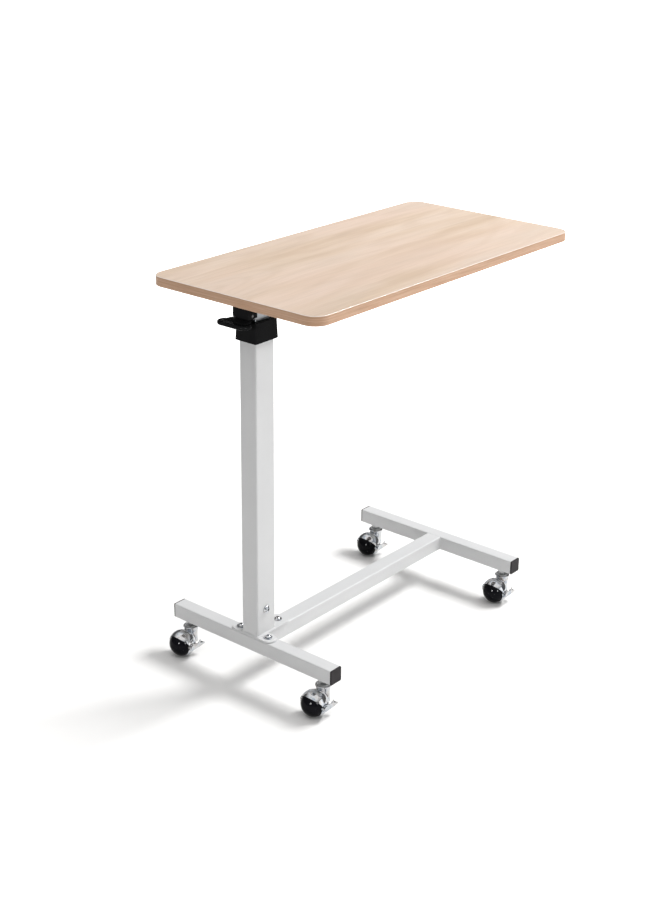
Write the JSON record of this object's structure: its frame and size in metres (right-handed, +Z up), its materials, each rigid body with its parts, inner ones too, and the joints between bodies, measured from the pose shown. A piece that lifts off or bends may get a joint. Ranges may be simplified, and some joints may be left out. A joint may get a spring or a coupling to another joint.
{
  "type": "overbed table",
  "caption": "Overbed table with a laminated top on a height-adjustable end column, H-shaped base and swivelling ball casters with brakes.",
  "frame": {"origin": "on the floor, straight under the middle of the tabletop", "axes": "+X along the top away from the column, +Y across the top, +Z up"},
  "size_m": [0.8, 0.41, 0.79],
  "materials": {
    "laminate": "pale maple laminate, satin, grain along the length",
    "edge_band": "wood-print edge band, satin",
    "powder_coat": "pale grey-white powder coat, fine texture",
    "galvanised_tube": "zinc plated, drawn along the tube",
    "zinc_steel": "bright zinc plate",
    "chrome": "polished chrome plate",
    "chromed_rod": "hard chromed and ground",
    "cast_aluminium": "die cast, bead blasted",
    "black_enamel": "black enamel, semi-gloss",
    "black_moulding": "injection moulded, glossy with soft edges",
    "wheel": "polished black nylon ball",
    "end_cap": "charcoal polyethylene, fine spark texture",
    "nylon": "natural nylon, waxy"
  },
  "bodies": {
    "base": {"base_beam": "powder_coat", "caster_lock_nuts": "zinc_steel", "caster_stem_inserts": "zinc_steel", "column_bolt": "chrome", "column_bolt_nut": "chrome", "column_bolt_washers": "chrome", "column_collar": "black_moulding", "column_guide_sleeve": "nylon", "foot_plate": "powder_coat", "foot_plate_bolts": "chrome", "foot_plate_nuts": "zinc_steel", "foot_plate_washers": "chrome", "frame_weld_beads": "powder_coat", "front_crossbar": "powder_coat", "front_left_caster_stem": "zinc_steel", "front_left_end_cap": "end_cap", "front_right_caster_stem": "zinc_steel", "front_right_end_cap": "end_cap", "gas_spring_cylinder": "black_enamel", "gas_spring_gland": "zinc_steel", "gas_spring_spacers": "zinc_steel", "outer_column": "powder_coat", "rear_crossbar": "powder_coat", "rear_left_caster_stem": "zinc_steel", "rear_left_end_cap": "end_cap", "rear_right_caster_stem": "zinc_steel", "rear_right_end_cap": "end_cap"},
    "top": {"tabletop_board": "laminate", "tabletop_edge_band": "edge_band", "left_top_rail": "powder_coat", "right_top_rail": "powder_coat", "column_cross_member": "powder_coat", "far_cross_member": "powder_coat", "rail_end_plugs": "end_cap", "tabletop_screws": "zinc_steel", "inner_column": "galvanised_tube", "inner_column_glide": "nylon", "gas_spring_rod": "chromed_rod", "release_head": "cast_aluminium", "lever_housing": "black_moulding", "lever_pivot_pin": "black_enamel"},
    "release_lever": {"release_lever": "black_moulding"},
    "release_pin": {"release_pin": "zinc_steel"},
    "front_left_swivel": {"front_left_caster_hood": "chrome", "front_left_caster_axle": "chrome"},
    "front_left_wheel": {"front_left_caster_wheel": "wheel"},
    "front_left_brake": {"front_left_caster_brake": "chrome"},
    "front_right_swivel": {"front_right_caster_hood": "chrome", "front_right_caster_axle": "chrome"},
    "front_right_wheel": {"front_right_caster_wheel": "wheel"},
    "front_right_brake": {"front_right_caster_brake": "chrome"},
    "rear_left_swivel": {"rear_left_caster_hood": "chrome", "rear_left_caster_axle": "chrome"},
    "rear_left_wheel": {"rear_left_caster_wheel": "wheel"},
    "rear_left_brake": {"rear_left_caster_brake": "chrome"},
    "rear_right_swivel": {"rear_right_caster_hood": "chrome", "rear_right_caster_axle": "chrome"},
    "rear_right_wheel": {"rear_right_caster_wheel": "wheel"},
    "rear_right_brake": {"rear_right_caster_brake": "chrome"}
  },
  "joints": [
    {"name": "column_lift", "type": "slide", "parent": "base", "child": "top", "axis": [0, 0, 1], "range_m": [0, 0.3]},
    {"name": "lever_squeeze", "type": "hinge", "parent": "top", "child": "release_lever", "pos_m": [-0.362, 0, 0.748], "axis": [0, 1, 0], "range_deg": [0, 8], "stiffness_Nm_per_rad": 1.2, "springref_deg": -20.05},
    {"name": "valve_pin", "type": "slide", "parent": "top", "child": "release_pin", "axis": [0, 0, -1], "range_m": [0, 0.005]},
    {"name": "front_left_swivel_turn", "type": "hinge", "parent": "base", "child": "front_left_swivel", "pos_m": [-0.342, 0.1735, 0.05], "axis": [0, 0, 1], "continuous": true},
    {"name": "front_left_wheel_roll", "type": "hinge", "parent": "front_left_swivel", "child": "front_left_wheel", "pos_m": [-0.368, 0.1735, 0.0255], "axis": [0, 1, 0], "continuous": true},
    {"name": "front_left_brake_press", "type": "hinge", "parent": "front_left_swivel", "child": "front_left_brake", "pos_m": [-0.368, 0.1735, 0.0255], "axis": [0, 1, 0], "range_deg": [0, 20]},
    {"name": "front_right_swivel_turn", "type": "hinge", "parent": "base", "child": "front_right_swivel", "pos_m": [-0.342, -0.1735, 0.05], "axis": [0, 0, 1], "continuous": true},
    {"name": "front_right_wheel_roll", "type": "hinge", "parent": "front_right_swivel", "child": "front_right_wheel", "pos_m": [-0.368, -0.1735, 0.0255], "axis": [0, 1, 0], "continuous": true},
    {"name": "front_right_brake_press", "type": "hinge", "parent": "front_right_swivel", "child": "front_right_brake", "pos_m": [-0.368, -0.1735, 0.0255], "axis": [0, 1, 0], "range_deg": [0, 20]},
    {"name": "rear_left_swivel_turn", "type": "hinge", "parent": "base", "child": "rear_left_swivel", "pos_m": [0.259, 0.1735, 0.05], "axis": [0, 0, 1], "continuous": true},
    {"name": "rear_left_wheel_roll", "type": "hinge", "parent": "rear_left_swivel", "child": "rear_left_wheel", "pos_m": [0.233, 0.1735, 0.0255], "axis": [0, 1, 0], "continuous": true},
    {"name": "rear_left_brake_press", "type": "hinge", "parent": "rear_left_swivel", "child": "rear_left_brake", "pos_m": [0.233, 0.1735, 0.0255], "axis": [0, 1, 0], "range_deg": [0, 20]},
    {"name": "rear_right_swivel_turn", "type": "hinge", "parent": "base", "child": "rear_right_swivel", "pos_m": [0.259, -0.1735, 0.05], "axis": [0, 0, 1], "continuous": true},
    {"name": "rear_right_wheel_roll", "type": "hinge", "parent": "rear_right_swivel", "child": "rear_right_wheel", "pos_m": [0.233, -0.1735, 0.0255], "axis": [0, 1, 0], "continuous": true},
    {"name": "rear_right_brake_press", "type": "hinge", "parent": "rear_right_swivel", "child": "rear_right_brake", "pos_m": [0.233, -0.1735, 0.0255], "axis": [0, 1, 0], "range_deg": [0, 20]}
  ],
  "couplings": [
    {"joint": "valve_pin", "follows": "lever_squeeze", "m_per_rad": 0.032}
  ]
}
